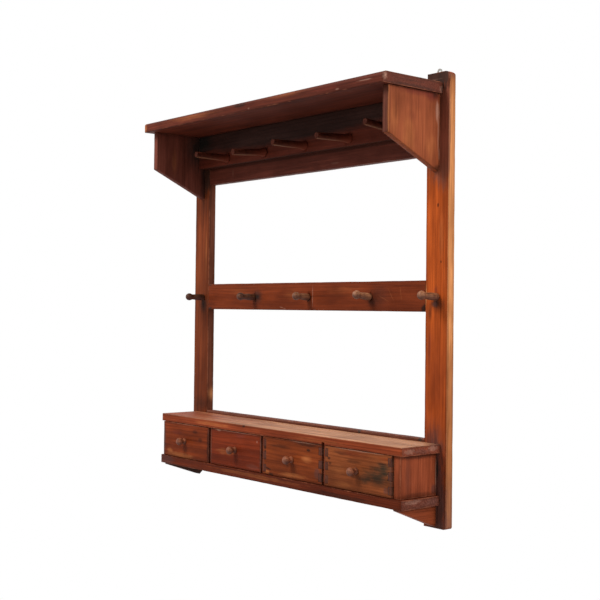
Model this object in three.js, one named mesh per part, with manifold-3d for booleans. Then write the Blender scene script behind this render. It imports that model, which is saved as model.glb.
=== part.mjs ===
// Wall plate rack in old stained pine: a framed back that hangs on the wall, a bracketed top shelf over a
// board of long pegs, a middle rail of ball-tipped pegs, and a shallow case of four small drawers.
// Millimetres, +Z up. The rack faces -Y and its back lies in the plane y = 0. Heights below are measured
// from the feet of the stiles, and the finished rack is lowered so that its origin is on the top rail's back.

import * as THREE from 'three';
import { mergeVertices } from 'three/addons/utils/BufferGeometryUtils.js';
import Module from 'manifold-3d';

const wasm = await Module();
wasm.setup();

// ---- Driving dimensions ----

// Fits
const seatGap = 0.3; // between boards that meet, and round every tenon and tail
const drawerSideGap = 0.8;
const drawerFloorGap = 0.5;
const drawerHeadGap = 0.8;
const drawerRearGap = 4;

// Back frame
const rackHeight = 1000;
const rackWidth = 961.5;
const stileWidth = 66;
const leftStileFootRise = 22; // the left stile has been cut shorter than the right one
const frameThickness = 21;
const arris = 1.5; // radius of the worn long edges
const topRailHeight = 157.5;
const middleRailFloor = 472;
const middleRailHeight = 70;
const bottomRailUpstand = 6.7; // over the lower shelf
const tenonThickness = 7;
const tenonLength = 42;
const tenonShoulder = 8;

// Top shelf and its brackets
const shelfDrop = 23.6; // from the stile tops to the shelf's top
const shelfThickness = 24.7;
const shelfEndInsets = [12, 20]; // left and right, in from the stiles' outer edges
const shelfNosing = 9;
const shelfOverhang = 22.2; // past the brackets' front edges
const upperBracketInset = 26.3; // in from the stiles' outer edges
const upperBracketThickness = 17.4;
const upperBracketDepth = 159.6;
const upperBracketFront = 100;
const upperBracketBack = 172;

// Peg board and the long pegs
const pegBoardThickness = 22.6;
const pegBoardHeight = 89.4;
const longPegRise = 19; // from the board's lower edge to the pegs' centres
const longPegPitch = 162;
const longPegShift = 22; // the row stands a little right of the middle
const longPegReach = 103;
const longPegFootRadius = 12.5;
const longPegStemRadius = 9.2;
const longPegTipRadius = 8;
const longPegTenonRadius = 7;
const longPegFlare = 20; // length of the foot's flare
const longPegRim = 1.6; // rounding of the flat end
const longPegTilts = [0, -5.4, -1.2, -2.4, 4.7]; // degrees, as the old pegs have settled

// Ball pegs of the middle row, left to right: one in each stile, three in the rail
const ballPegDrop = 2; // below the rail's centre line
const railPegPitch = 221.5;
const railPegShift = 15.5;
const stilePegShifts = [9, 2]; // from each stile's centre line
const ballPegReaches = [48, 45.5, 40, 43, 49]; // to the ball's centre
const ballPegTilts = [1, 2, 3.5, 6.5, 3.5]; // degrees, upward
const ballRadius = 10.3;
const ballPegNeckRadius = 6.8;
const ballPegBellyRadius = 8.8;
const ballPegFootRadius = 8.4;
const ballPegTenonRadius = 5;
const boreFloor = 5; // wood left behind each bore

// Drawer case
const bottomBoardFloor = 51;
const bottomBoardThickness = 21.6;
const bottomBoardOverhang = 8.6; // past the end panels' front edges
const bayHeight = 92.7;
const lowerShelfThickness = 19.3;
const lowerShelfOverhang = 6.4;
const caseEndInset = 17.75; // in from the stiles' outer edges
const endPanelInset = 10.6; // in from the case boards' ends
const endPanelThickness = 21;
const endPanelDepth = 111;
const dividerThickness = 9;
const dividerHousing = 6;
const dividerShifts = [-5, -7, -1]; // from even spacing, as they were set out by hand
const lowerBracketThickness = 21;
const lowerBracketDrops = [38.6, 46.5]; // left and right, below the bottom board
const lowerBracketHeels = [9, 3]; // left and right, cut off the lowest corner
const lowerBracketNose = 4;

// Drawers
const drawerProud = 5; // of the fronts, before the end panels
const drawerFrontThickness = 14;
const drawerSideThickness = 11;
const drawerBackThickness = 9;
const drawerBackDrop = 8; // the back's top edge, below the sides'
const drawerBackInset = 6; // the back, in from the sides' ends
const drawerBottomThickness = 5;
const drawerBottomRise = 7;
const drawerGroove = 4;
const tailCount = 3;
const tailRootWidth = 13.5;
const tailSlope = 1 / 6;
const hiddenLap = 5; // wood left over the tails of a lapped dovetail
const knobShifts = [-5, 0, 0, -3]; // from the middle of each front
const knobRadius = 10.3;
const knobReach = 25;
const knobHeadLength = 15.5;
const knobNeckRadius = 5.6;
const knobFootRadius = 8.2;
const knobFlange = 2.5;
const knobTenonRadius = 4.5;

// Hanging plates, let into the backs of the stiles' tops
const plateWidth = 14;
const plateHeight = 48;
const plateThickness = 2;
const plateInset = 19; // from the stile's inner edge to the plate's centre line
const plateRise = 13; // above the stile's top, so that the eye stands clear of it
const plateEyeRadius = 3.2;
const plateSink = 0.2; // below the stile's back
const plateScrewSpacing = 15;
const plateScrewFootMargin = 7;
const screwLength = 14;
const screwRadius = 1.7;
const screwHeadRadius = 3.3;

// Roundness
const turnedSides = 18;
const screwSides = 10;
const softCornerSteps = 2;
const nosingSteps = 5;
const curveSteps = 6;
const ballSteps = 7;
const knobSteps = 12;
const plateHeadSteps = 8;

// ---- Places worked out from them ----

const radians = THREE.MathUtils.degToRad;
const frameFront = -frameThickness;
const stileInner = rackWidth / 2 - stileWidth;
const stileCentre = rackWidth / 2 - stileWidth / 2;
const plateCentre = stileInner + plateInset;

const shelfTop = rackHeight - shelfDrop;
const shelfUnderside = shelfTop - shelfThickness;
const upperBracketOuter = rackWidth / 2 - upperBracketInset;
const upperBracketInner = upperBracketOuter - upperBracketThickness;

const bayFloor = bottomBoardFloor + bottomBoardThickness;
const bayTop = bayFloor + bayHeight;
const lowerShelfTop = bayTop + lowerShelfThickness;
const caseEnd = rackWidth / 2 - caseEndInset;
const endPanelOuter = caseEnd - endPanelInset;
const endPanelInner = endPanelOuter - endPanelThickness;
const endPanelFront = frameFront - endPanelDepth;
const drawerFace = endPanelFront - drawerProud;

const rails = {
  top: { floor: shelfTop - topRailHeight, height: topRailHeight },
  middle: { floor: middleRailFloor, height: middleRailHeight },
  bottom: { floor: bottomBoardFloor, height: lowerShelfTop + bottomRailUpstand - bottomBoardFloor },
};
const wallPointHeight = rails.top.floor + rails.top.height / 2;

// The four drawer fronts share the run from the left panel's outer face, which the first front laps over,
// to the right panel's inner face. The dividers stand between them.
const frontRun = endPanelOuter + endPanelInner;
const dividerCentres = dividerShifts.map((shift, i) => -endPanelOuter + (frontRun * (i + 1)) / 4 + shift);

// ---- Materials ----

const wood = (color, roughness) => new THREE.MeshStandardMaterial({ color, roughness, metalness: 0 });
const framePine = wood(0x98522f, 0.55);
const shelfPine = wood(0xa35c36, 0.5);
const drawerPine = wood(0xa2552e, 0.5);
const drawerInsidePine = wood(0xb98a5b, 0.75);
const turnedWood = wood(0x8f6a50, 0.6);
const steel = new THREE.MeshStandardMaterial({ color: 0x9c9a95, roughness: 0.45, metalness: 1 });

// ---- Solid tools ----

function solidOf(geometry) {
  const bare = geometry.clone();
  bare.deleteAttribute('normal');
  bare.deleteAttribute('uv');
  const merged = mergeVertices(bare, 1e-4);
  const corners = merged.index.array;
  const kept = [];
  for (let i = 0; i < corners.length; i += 3) {
    const [a, b, c] = [corners[i], corners[i + 1], corners[i + 2]];
    if (a !== b && b !== c && c !== a) kept.push(a, b, c);
  }
  const vertProperties = new Float32Array(merged.attributes.position.array);
  return new wasm.Manifold(new wasm.Mesh({ numProp: 3, vertProperties, triVerts: new Uint32Array(kept) }));
}

function geometryOf(solid) {
  const mesh = solid.getMesh();
  const geometry = new THREE.BufferGeometry();
  geometry.setAttribute('position', new THREE.BufferAttribute(mesh.vertProperties, 3));
  geometry.setIndex(new THREE.BufferAttribute(mesh.triVerts, 1));
  return geometry;
}

function cut(geometry, cutters) {
  return geometryOf(cutters.reduce((body, cutter) => body.subtract(solidOf(cutter)), solidOf(geometry)));
}

function join(geometry, additions) {
  return geometryOf(additions.reduce((body, addition) => body.add(solidOf(addition)), solidOf(geometry)));
}

const grow = ([low, high], by) => [low - by, high + by];
const around = (centre, width) => [centre - width / 2, centre + width / 2];
const mirrored = ([low, high]) => [-high, -low];

// A plain block over three [low, high] spans.
function block([x0, x1], [y0, y1], [z0, z1]) {
  const box = new THREE.BoxGeometry(x1 - x0, y1 - y0, z1 - z0);
  return box.translate((x0 + x1) / 2, (y0 + y1) / 2, (z0 + z1) / 2);
}

// Extrudes an outline along an axis. It is drawn as (y, z) for x, (z, x) for y and (x, y) for z.
const [X, Y, Z] = [new THREE.Vector3(1, 0, 0), new THREE.Vector3(0, 1, 0), new THREE.Vector3(0, 0, 1)];
const outlineFrames = {
  x: new THREE.Matrix4().makeBasis(Y, Z, X),
  y: new THREE.Matrix4().makeBasis(Z, X, Y),
  z: new THREE.Matrix4().makeBasis(X, Y, Z),
};

function extrude(outline, axis, [low, high], curveSegments = softCornerSteps) {
  const options = { depth: high - low, bevelEnabled: false, curveSegments };
  const geometry = new THREE.ExtrudeGeometry(outline, options);
  return geometry.translate(0, 0, low).applyMatrix4(outlineFrames[axis]);
}

// A rectangle with rounded corners. The radii run from (low, low) to (high, low), (high, high), (low, high).
function roundedOutline([a0, a1], [b0, b1], [r0, r1, r2, r3]) {
  const quarter = Math.PI / 2;
  const outline = new THREE.Shape();
  outline.absarc(a0 + r0, b0 + r0, r0, -2 * quarter, -quarter);
  outline.absarc(a1 - r1, b0 + r1, r1, -quarter, 0);
  outline.absarc(a1 - r2, b1 - r2, r2, 0, quarter);
  outline.absarc(a0 + r3, b1 - r3, r3, quarter, 2 * quarter);
  return outline;
}

// A board that runs along one axis, with its long edges worn round.
function board(axis, x, y, z) {
  const [across, up, along] = { x: [y, z, x], y: [z, x, y], z: [x, y, z] }[axis];
  return extrude(roundedOutline(across, up, [arris, arris, arris, arris]), axis, along);
}

function polygon(points) {
  return new THREE.Shape(points.map(([a, b]) => new THREE.Vector2(a, b)));
}

// A turned piece on the Y axis: [radius, distance] pairs, from the inner end to the tip.
function turned(profile, sides = turnedSides) {
  return new THREE.LatheGeometry(profile.map(([r, d]) => new THREE.Vector2(r, d)), sides);
}

// Points [radius, distance] on a smooth curve through a few of them.
function swell(through, steps = curveSteps) {
  const curve = new THREE.SplineCurve(through.map(([r, d]) => new THREE.Vector2(r, d)));
  return curve.getPoints(steps).map((point) => [point.x, point.y]);
}

// A bore of its own floor depth, from outside the face at distance 0, on the Y axis.
function bore(radius, depth, sides = turnedSides) {
  const mouth = 5;
  const cylinder = new THREE.CylinderGeometry(radius, radius, depth + mouth, sides);
  return cylinder.translate(0, (mouth - depth) / 2, 0);
}

// Where a turned piece stands: on a face at y, pointing out of it to -Y and up by the tilt.
function standing(x, y, z, tiltDegrees = 0) {
  const place = new THREE.Object3D();
  place.position.set(x, y, z);
  place.rotation.x = Math.PI - radians(tiltDegrees);
  place.updateMatrix();
  return place;
}

// Adds one named piece, with its own origin at the middle of its box.
function addPiece(parent, name, geometry, material) {
  geometry.computeBoundingBox();
  const middle = geometry.boundingBox.getCenter(new THREE.Vector3());
  const mesh = new THREE.Mesh(geometry.translate(-middle.x, -middle.y, -middle.z), material);
  mesh.name = name;
  mesh.position.copy(middle);
  parent.add(mesh);
}

// Adds one turned piece at its place.
function addTurned(parent, name, geometry, place, material) {
  const mesh = new THREE.Mesh(geometry, material);
  mesh.name = name;
  mesh.position.copy(place.position);
  mesh.rotation.copy(place.rotation);
  parent.add(mesh);
}

// ---- Back frame ----

// The bar through a rail whose two ends are its tenons. Grown, it cuts their mortises.
function tenonBar(rail, growth = 0) {
  const reach = stileInner + tenonLength + growth;
  const thickness = around(frameFront / 2, tenonThickness + 2 * growth);
  const height = grow([rail.floor + tenonShoulder, rail.floor + rail.height - tenonShoulder], growth);
  return block([-reach, reach], thickness, height);
}

function railGeometry(rail) {
  const body = board('x', grow([-stileInner, stileInner], -seatGap), [frameFront, 0],
    [rail.floor, rail.floor + rail.height]);
  return join(body, [tenonBar(rail)]);
}

const ballPegHeight = rails.middle.floor + rails.middle.height / 2 - ballPegDrop;
const ballPegXs = [
  -stileCentre + stilePegShifts[0],
  railPegShift - railPegPitch,
  railPegShift,
  railPegShift + railPegPitch,
  stileCentre + stilePegShifts[1],
];
const ballPegPlaces = ballPegXs.map((x, i) => standing(x, frameFront, ballPegHeight, ballPegTilts[i]));
const ballPegBores = ballPegPlaces.map((place) =>
  bore(ballPegTenonRadius + seatGap, frameThickness - boreFloor).applyMatrix4(place.matrix));

// A hanging plate lies in a bed in its stile's back and rises over the stile's top, where its eye takes the
// wall screw. Its own two screws stand in pilot holes, also in the top rail's tenon where they reach it.
const plateTop = rackHeight + plateRise;
const plateBottom = plateTop - plateHeight;
const plateEyeHeight = plateTop - plateWidth / 2;
const plateBack = -plateSink;
const plateFront = plateBack - plateThickness;
const plateScrewHeights = [0, 1].map((i) => plateBottom + plateScrewFootMargin + i * plateScrewSpacing);

const platePilots = [-plateCentre, plateCentre].flatMap((centre) => plateScrewHeights.map((height) =>
  bore(screwRadius + seatGap, screwLength + plateSink + seatGap, screwSides).translate(centre, 0, height)));

function plateBed(centre) {
  const across = grow(around(centre, plateWidth), seatGap);
  return block(across, [plateFront - seatGap, 1], [plateBottom - seatGap, rackHeight + 1]);
}

function stileGeometry(side, foot) {
  const span = [stileInner, rackWidth / 2];
  const body = board('z', side < 0 ? mirrored(span) : span, [frameFront, 0], [foot, rackHeight]);
  const mortises = Object.values(rails).map((rail) => tenonBar(rail, seatGap));
  return cut(body, [...mortises, ...ballPegBores, ...platePilots, plateBed(side * plateCentre)]);
}

function addBackFrame(rack) {
  addPiece(rack, 'left_stile', stileGeometry(-1, leftStileFootRise), framePine);
  addPiece(rack, 'right_stile', stileGeometry(1, 0), framePine);
  addPiece(rack, 'top_rail', cut(railGeometry(rails.top), platePilots), framePine);
  addPiece(rack, 'middle_rail', cut(railGeometry(rails.middle), ballPegBores), framePine);
  addPiece(rack, 'bottom_rail', railGeometry(rails.bottom), framePine);
}

// ---- Hanging plates ----

// A strap with a round head that rises over the stile, an eye for the wall screw and two countersunk holes.
function plateGeometry(centre) {
  const outline = new THREE.Shape();
  const halfWidth = plateWidth / 2;
  outline.moveTo(-halfWidth, plateBottom);
  outline.lineTo(halfWidth, plateBottom);
  outline.absarc(0, plateEyeHeight, halfWidth, 0, Math.PI);
  const eye = new THREE.Path();
  eye.absarc(0, plateEyeHeight, plateEyeRadius, 0, 2 * Math.PI, true);
  outline.holes.push(eye);
  const options = { depth: plateThickness, bevelEnabled: false, curveSegments: plateHeadSteps };
  const plate = new THREE.ExtrudeGeometry(outline, options);
  const standingPlate = plate.rotateX(Math.PI / 2).translate(centre, plateBack, 0);
  const sinks = plateScrewHeights.map((height) => screwSink().translate(centre, plateBack, height));
  return cut(standingPlate, sinks);
}

// A countersunk screw along Y, with its flat head at 0 and its point in the wood at -Y.
const screwHeadDepth = screwHeadRadius - screwRadius;

function screwGeometry() {
  const profile = [
    [0, -screwLength],
    [screwRadius, screwRadius - screwLength],
    [screwRadius, -screwHeadDepth],
    [screwHeadRadius, 0],
    [0, 0],
  ];
  return turned(profile, screwSides);
}

// The hole that a screw and its head leave in the plate, open at the back.
function screwSink() {
  const [shank, head] = [screwRadius + seatGap, screwHeadRadius + seatGap];
  const profile = [
    [0, -screwLength],
    [shank, -screwLength],
    [shank, -screwHeadDepth],
    [head, 0],
    [head, 1],
    [0, 1],
  ];
  return turned(profile, screwSides);
}

function addHangingPlates(rack) {
  for (const [side, word] of [[-1, 'left'], [1, 'right']]) {
    const centre = side * plateCentre;
    addPiece(rack, `hanging_plate_${word}`, plateGeometry(centre), steel);
    plateScrewHeights.forEach((height, i) => {
      const screw = screwGeometry().translate(centre, plateBack, height);
      addPiece(rack, `plate_screw_${word}_${i + 1}`, screw, steel);
    });
  }
}

// ---- Top shelf, brackets and peg board ----

function addTopShelf(rack) {
  const front = frameFront - upperBracketDepth - shelfOverhang;
  const profile = roundedOutline([front, frameFront - seatGap], [shelfUnderside, shelfTop],
    [2 * arris, arris, arris, shelfNosing]);
  const ends = [shelfEndInsets[0] - rackWidth / 2, rackWidth / 2 - shelfEndInsets[1]];
  addPiece(rack, 'top_shelf', extrude(profile, 'x', ends, nosingSteps), shelfPine);
}

// A bracket's side view, drawn as (y, z): square against the board it carries or hangs from, then sloping
// back to the frame, with its lowest corner cut off at the heel.
function bracketOutline(level, depth, frontHeight, backHeight, heel = 0) {
  const back = frameFront - seatGap;
  const front = frameFront - depth;
  const foot = level - backHeight;
  const heelCorners = heel > 0 ? [[back - heel, foot], [back, foot + heel]] : [[back, foot]];
  return polygon([[front, level], [front, level - frontHeight], ...heelCorners, [back, level]]);
}

function addBrackets(rack) {
  const upperSpan = [upperBracketInner, upperBracketOuter];
  const upperLevel = shelfUnderside - seatGap;
  const upper = bracketOutline(upperLevel, upperBracketDepth, upperBracketFront, upperBracketBack);
  addPiece(rack, 'upper_bracket_left', extrude(upper, 'x', mirrored(upperSpan)), framePine);
  addPiece(rack, 'upper_bracket_right', extrude(upper, 'x', upperSpan), framePine);

  const lowerSpan = [endPanelOuter - lowerBracketThickness, endPanelOuter];
  const [lowerLeft, lowerRight] = lowerBracketDrops.map((drop, i) =>
    bracketOutline(bottomBoardFloor - seatGap, endPanelDepth, lowerBracketNose, drop, lowerBracketHeels[i]));
  addPiece(rack, 'lower_bracket_left', extrude(lowerLeft, 'x', mirrored(lowerSpan)), framePine);
  addPiece(rack, 'lower_bracket_right', extrude(lowerRight, 'x', lowerSpan), framePine);
}

const pegBoardTop = shelfUnderside - seatGap;
const pegBoardFloor = pegBoardTop - pegBoardHeight;
const pegBoardFace = frameFront - seatGap - pegBoardThickness;
const longPegPlaces = longPegTilts.map((tilt, i) => {
  const x = longPegShift + (i - (longPegTilts.length - 1) / 2) * longPegPitch;
  return standing(x, pegBoardFace, pegBoardFloor + longPegRise, tilt);
});

// A foot that is square to a tilted peg clears the face it stands on by this much at its middle.
const standOff = (footRadius, tilt) => seatGap + footRadius * Math.sin(radians(Math.abs(tilt)));

function addPegBoard(rack) {
  const halfLength = upperBracketInner - seatGap;
  const body = board('x', [-halfLength, halfLength], [pegBoardFace, frameFront - seatGap],
    [pegBoardFloor, pegBoardTop]);
  const bores = longPegPlaces.map((place) =>
    bore(longPegTenonRadius + seatGap, pegBoardThickness - boreFloor).applyMatrix4(place.matrix));
  addPiece(rack, 'peg_board', cut(body, bores), framePine);
}

// A long plain peg: a tenon, a flared foot, a tapering stem and a flat end with a rounded rim.
function longPegGeometry(tilt) {
  const foot = standOff(longPegFootRadius, tilt);
  const tenonEnd = seatGap - (pegBoardThickness - boreFloor);
  const flareEnd = foot + longPegFlare;
  const flare = swell([
    [longPegFootRadius, foot + longPegFlare * 0.15],
    [longPegStemRadius + (longPegFootRadius - longPegStemRadius) / 4, foot + longPegFlare / 2],
    [longPegStemRadius, flareEnd],
  ]);
  return turned([
    [0, tenonEnd],
    [longPegTenonRadius, tenonEnd],
    [longPegTenonRadius, foot],
    [longPegFootRadius, foot],
    ...flare,
    [longPegTipRadius, longPegReach - longPegRim],
    [longPegTipRadius - longPegRim / 2, longPegReach - longPegRim / 4],
    [longPegTipRadius - longPegRim, longPegReach],
    [0, longPegReach],
  ]);
}

function addLongPegs(rack) {
  longPegPlaces.forEach((place, i) => {
    addTurned(rack, `long_peg_${i + 1}`, longPegGeometry(longPegTilts[i]), place, turnedWood);
  });
}

// ---- Ball pegs ----

// A short turned peg: a tenon, a belly, a neck and a ball.
function ballPegGeometry(reach, tilt) {
  const foot = standOff(ballPegFootRadius, tilt);
  const tenonEnd = seatGap - (frameThickness - boreFloor);
  const neck = reach - ballRadius;
  const belly = (foot + neck) / 2;
  const ballStart = Math.asin(ballPegNeckRadius / ballRadius);
  const ball = [];
  for (let i = 1; i < ballSteps; i += 1) {
    const angle = ballStart + ((Math.PI - ballStart) * i) / ballSteps;
    ball.push([ballRadius * Math.sin(angle), reach - ballRadius * Math.cos(angle)]);
  }
  return turned([
    [0, tenonEnd],
    [ballPegTenonRadius, tenonEnd],
    [ballPegTenonRadius, foot],
    ...swell([[ballPegFootRadius, foot], [ballPegBellyRadius, belly], [ballPegNeckRadius, neck]]),
    ...ball,
    [0, reach + ballRadius],
  ]);
}

function addBallPegs(rack) {
  const names = ['left_stile_peg', 'rail_peg_1', 'rail_peg_2', 'rail_peg_3', 'right_stile_peg'];
  names.forEach((name, i) => {
    addTurned(rack, name, ballPegGeometry(ballPegReaches[i], ballPegTilts[i]), ballPegPlaces[i], turnedWood);
  });
}

// ---- Drawer case ----

// The housings that the dividers stand in, open at the board's front as cut with a saw.
function dividerHousings(face, boardFront) {
  const height = grow([face, face], dividerHousing);
  return dividerCentres.map((centre) =>
    block(grow(around(centre, dividerThickness), seatGap), [boardFront - 1, 1], height));
}

function addCase(rack) {
  const back = frameFront - seatGap;
  const ends = [-caseEnd, caseEnd];
  const shelfFront = endPanelFront - lowerShelfOverhang;
  const shelf = board('x', ends, [shelfFront, back], [bayTop, lowerShelfTop]);
  addPiece(rack, 'lower_shelf', cut(shelf, dividerHousings(bayTop, shelfFront)), shelfPine);
  const bottomFront = endPanelFront - bottomBoardOverhang;
  const bottom = board('x', ends, [bottomFront, back], [bottomBoardFloor, bayFloor]);
  addPiece(rack, 'bottom_board', cut(bottom, dividerHousings(bayFloor, bottomFront)), shelfPine);

  const panelSpan = [endPanelInner, endPanelOuter];
  const panel = (span) => board('z', span, [endPanelFront, back], grow([bayFloor, bayTop], -seatGap));
  addPiece(rack, 'end_panel_left', panel(mirrored(panelSpan)), framePine);
  addPiece(rack, 'end_panel_right', panel(panelSpan), framePine);
  const housed = grow([bayFloor, bayTop], dividerHousing - seatGap);
  dividerCentres.forEach((centre, i) => {
    const divider = board('z', around(centre, dividerThickness), [endPanelFront, back], housed);
    addPiece(rack, `divider_${i + 1}`, divider, framePine);
  });
}

// ---- Drawers ----
// Each drawer has its own frame: x from the middle of its front, y = 0 at the front's face and z = 0 at its
// lower edge.

const drawerHeight = bayHeight - drawerFloorGap - drawerHeadGap;
const drawerLength = endPanelDepth + drawerProud - drawerRearGap;
const tailCentres = Array.from({ length: tailCount }, (_, i) => (drawerHeight * (i + 0.5)) / tailCount);
const tailHalfWidth = (y) => tailRootWidth / 2 + (drawerFrontThickness - y) * tailSlope;
const bottomTop = drawerBottomRise + drawerBottomThickness;
const drawerBackEnd = drawerLength - drawerBackInset;
const drawerBackSpan = [drawerBackEnd - drawerBackThickness, drawerBackEnd];

// A side board, drawn as (y, z), with its row of tails at the front end.
function drawerSideGeometry(span, inward, lap) {
  const shoulder = drawerFrontThickness + seatGap;
  const tip = lap + (lap > 0 ? seatGap : 0);
  const outline = [[shoulder, 0], [drawerLength, 0], [drawerLength, drawerHeight], [shoulder, drawerHeight]];
  const [root, end] = [tailHalfWidth(shoulder), tailHalfWidth(tip)];
  for (const centre of [...tailCentres].reverse()) {
    outline.push([shoulder, centre + root], [tip, centre + end]);
    outline.push([tip, centre - end], [shoulder, centre - root]);
  }
  const side = extrude(polygon(outline), 'x', span);
  const depth = inward > 0 ? [span[1] - drawerGroove, span[1] + 1] : [span[0] - 1, span[0] + drawerGroove];
  const groove = block(depth, [drawerFrontThickness - drawerGroove, drawerLength + 1],
    grow([drawerBottomRise, bottomTop], seatGap));
  const housing = block(depth, grow(drawerBackSpan, seatGap), [bottomTop, drawerHeight + 1]);
  return cut(side, [groove, housing]);
}

// The sockets that a side's tails fill, through the face or stopped behind a lap of wood.
function tailSockets(span, lap) {
  const from = lap > 0 ? lap : -1;
  const to = drawerFrontThickness + 1;
  const [near, far] = [tailHalfWidth(from) + seatGap, tailHalfWidth(to) + seatGap];
  return tailCentres.map((centre) => {
    const corners = [[from, centre - near], [to, centre - far], [to, centre + far], [from, centre + near]];
    return extrude(polygon(corners), 'x', span);
  });
}

// A turned knob: a tenon through the front, a flange, a neck and a round head.
function knobGeometry() {
  const tenonEnd = seatGap - drawerFrontThickness;
  const flangeFace = seatGap + knobFlange;
  const headStart = knobReach - knobHeadLength;
  const along = (share) => headStart + knobHeadLength * share;
  const body = swell([
    [knobFootRadius * 0.9, flangeFace + 1],
    [knobNeckRadius, (flangeFace + headStart) / 2 + 1],
    [knobRadius * 0.82, along(0.2)],
    [knobRadius, along(0.5)],
    [knobRadius * 0.8, along(0.82)],
    [knobRadius * 0.35, along(0.98)],
  ], knobSteps);
  return turned([
    [0, tenonEnd],
    [knobTenonRadius, tenonEnd],
    [knobTenonRadius, seatGap],
    [knobFootRadius, seatGap],
    [knobFootRadius, flangeFace],
    ...body,
    [0, knobReach],
  ]);
}

// Builds a drawer whose front covers [left, right]. A lipped front laps over the end panel beside it, and
// its box starts at boxLeft, inside that panel. lap is the wood left over its tails, or 0 if they show.
function addDrawer(rack, number, { left, right, boxLeft, lap, knobShift }) {
  const middle = (left + right) / 2;
  const drawer = new THREE.Group();
  drawer.position.set(middle, drawerFace, bayFloor + drawerFloorGap);
  rack.add(drawer);

  const front = [left - middle, right - middle];
  const box = [boxLeft - middle, right - middle];
  const isLipped = box[0] > front[0];
  const leftSide = [box[0], box[0] + drawerSideThickness];
  const rightSide = [box[1] - drawerSideThickness, box[1]];
  const inside = [leftSide[1], rightSide[0]];
  const height = [0, drawerHeight];
  const bottomSpan = grow(inside, drawerGroove - seatGap);
  const knobPlace = standing(knobShift, 0, drawerHeight / 2);

  // The sockets run out through the front's ends, except where the lip goes on past the side
  const leftSockets = [leftSide[0] - (isLipped ? seatGap : 1), leftSide[1] + seatGap];
  const rightSockets = [rightSide[0] - seatGap, rightSide[1] + 1];
  const grooveDepth = [drawerFrontThickness - drawerGroove, drawerFrontThickness + 1];
  const frontCuts = [
    ...tailSockets(leftSockets, lap),
    ...tailSockets(rightSockets, lap),
    block(grow(bottomSpan, seatGap), grooveDepth, grow([drawerBottomRise, bottomTop], seatGap)),
    bore(knobTenonRadius + seatGap, drawerFrontThickness + 1).applyMatrix4(knobPlace.matrix),
  ];
  if (isLipped) {
    const rebate = [drawerProud - seatGap, drawerFrontThickness + 1];
    frontCuts.push(block([front[0] - 1, box[0]], rebate, grow(height, 1)));
  }
  const frontBoard = board('x', front, [0, drawerFrontThickness], height);
  const backBoard = block(bottomSpan, drawerBackSpan, [bottomTop + seatGap, drawerHeight - drawerBackDrop]);
  const bottomBoard = block(bottomSpan, [drawerFrontThickness - drawerGroove + seatGap, drawerLength],
    [drawerBottomRise, bottomTop]);

  const name = (piece) => `drawer_${number}_${piece}`;
  addPiece(drawer, name('front'), cut(frontBoard, frontCuts), drawerPine);
  addPiece(drawer, name('left_side'), drawerSideGeometry(leftSide, 1, lap), drawerInsidePine);
  addPiece(drawer, name('right_side'), drawerSideGeometry(rightSide, -1, lap), drawerInsidePine);
  addPiece(drawer, name('back'), backBoard, drawerInsidePine);
  addPiece(drawer, name('bottom'), bottomBoard, drawerInsidePine);
  addTurned(drawer, name('knob'), knobGeometry(), knobPlace, turnedWood);
}

function addDrawers(rack) {
  const clear = dividerThickness / 2 + drawerSideGap;
  const lefts = [-endPanelOuter, ...dividerCentres.map((centre) => centre + clear)];
  const rights = [...dividerCentres.map((centre) => centre - clear), endPanelInner - drawerSideGap];
  lefts.forEach((left, i) => {
    const boxLeft = i === 0 ? drawerSideGap - endPanelInner : left;
    const lap = i < 2 ? hiddenLap : 0;
    addDrawer(rack, i + 1, { left, right: rights[i], boxLeft, lap, knobShift: knobShifts[i] });
  });
}

// ---- The rack ----

const rack = new THREE.Group();
rack.name = 'wall_plate_rack';
rack.position.z = -wallPointHeight;
addBackFrame(rack);
addHangingPlates(rack);
addTopShelf(rack);
addBrackets(rack);
addPegBoard(rack);
addLongPegs(rack);
addBallPegs(rack);
addCase(rack);
addDrawers(rack);

export default rack;
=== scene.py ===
"""Looks of the old stained pine wall plate rack: worn boards, turned pegs and knobs, iron plates and screws,
a pale studio and the camera. It is laid out as an add-on and run as a script. Lengths are in metres,
and the sizes of marks and corners in millimetres."""

import math
from dataclasses import dataclass
from functools import partial

import bmesh
import bpy
from bpy.props import FloatProperty, FloatVectorProperty, PointerProperty
from bpy.types import NodeSocket, Operator, Panel, PropertyGroup
from mathutils import Matrix, Vector, noise


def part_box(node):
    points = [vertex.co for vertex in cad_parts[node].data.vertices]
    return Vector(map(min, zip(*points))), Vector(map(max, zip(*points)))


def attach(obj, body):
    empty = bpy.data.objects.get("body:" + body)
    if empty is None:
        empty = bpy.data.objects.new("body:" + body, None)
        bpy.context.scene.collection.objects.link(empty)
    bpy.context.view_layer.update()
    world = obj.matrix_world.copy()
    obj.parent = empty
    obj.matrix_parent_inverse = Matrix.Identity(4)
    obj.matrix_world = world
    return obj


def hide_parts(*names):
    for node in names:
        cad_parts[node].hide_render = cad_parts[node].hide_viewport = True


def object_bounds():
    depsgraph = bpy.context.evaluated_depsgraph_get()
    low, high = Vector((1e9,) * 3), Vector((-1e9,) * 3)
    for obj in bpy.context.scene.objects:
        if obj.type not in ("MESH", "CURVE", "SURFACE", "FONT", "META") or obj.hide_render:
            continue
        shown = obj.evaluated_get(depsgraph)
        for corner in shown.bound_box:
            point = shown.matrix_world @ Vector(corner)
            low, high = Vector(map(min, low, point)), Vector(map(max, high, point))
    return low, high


bl_info = {
    "name": "Wall Plate Rack",
    "version": (1, 0, 0),
    "blender": (4, 5, 0),
    "location": "3D View > Sidebar > Plate Rack",
    "description": "Dresses a wall plate rack in old stained pine and sets it in a pale studio",
    "category": "Object",
}

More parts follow.
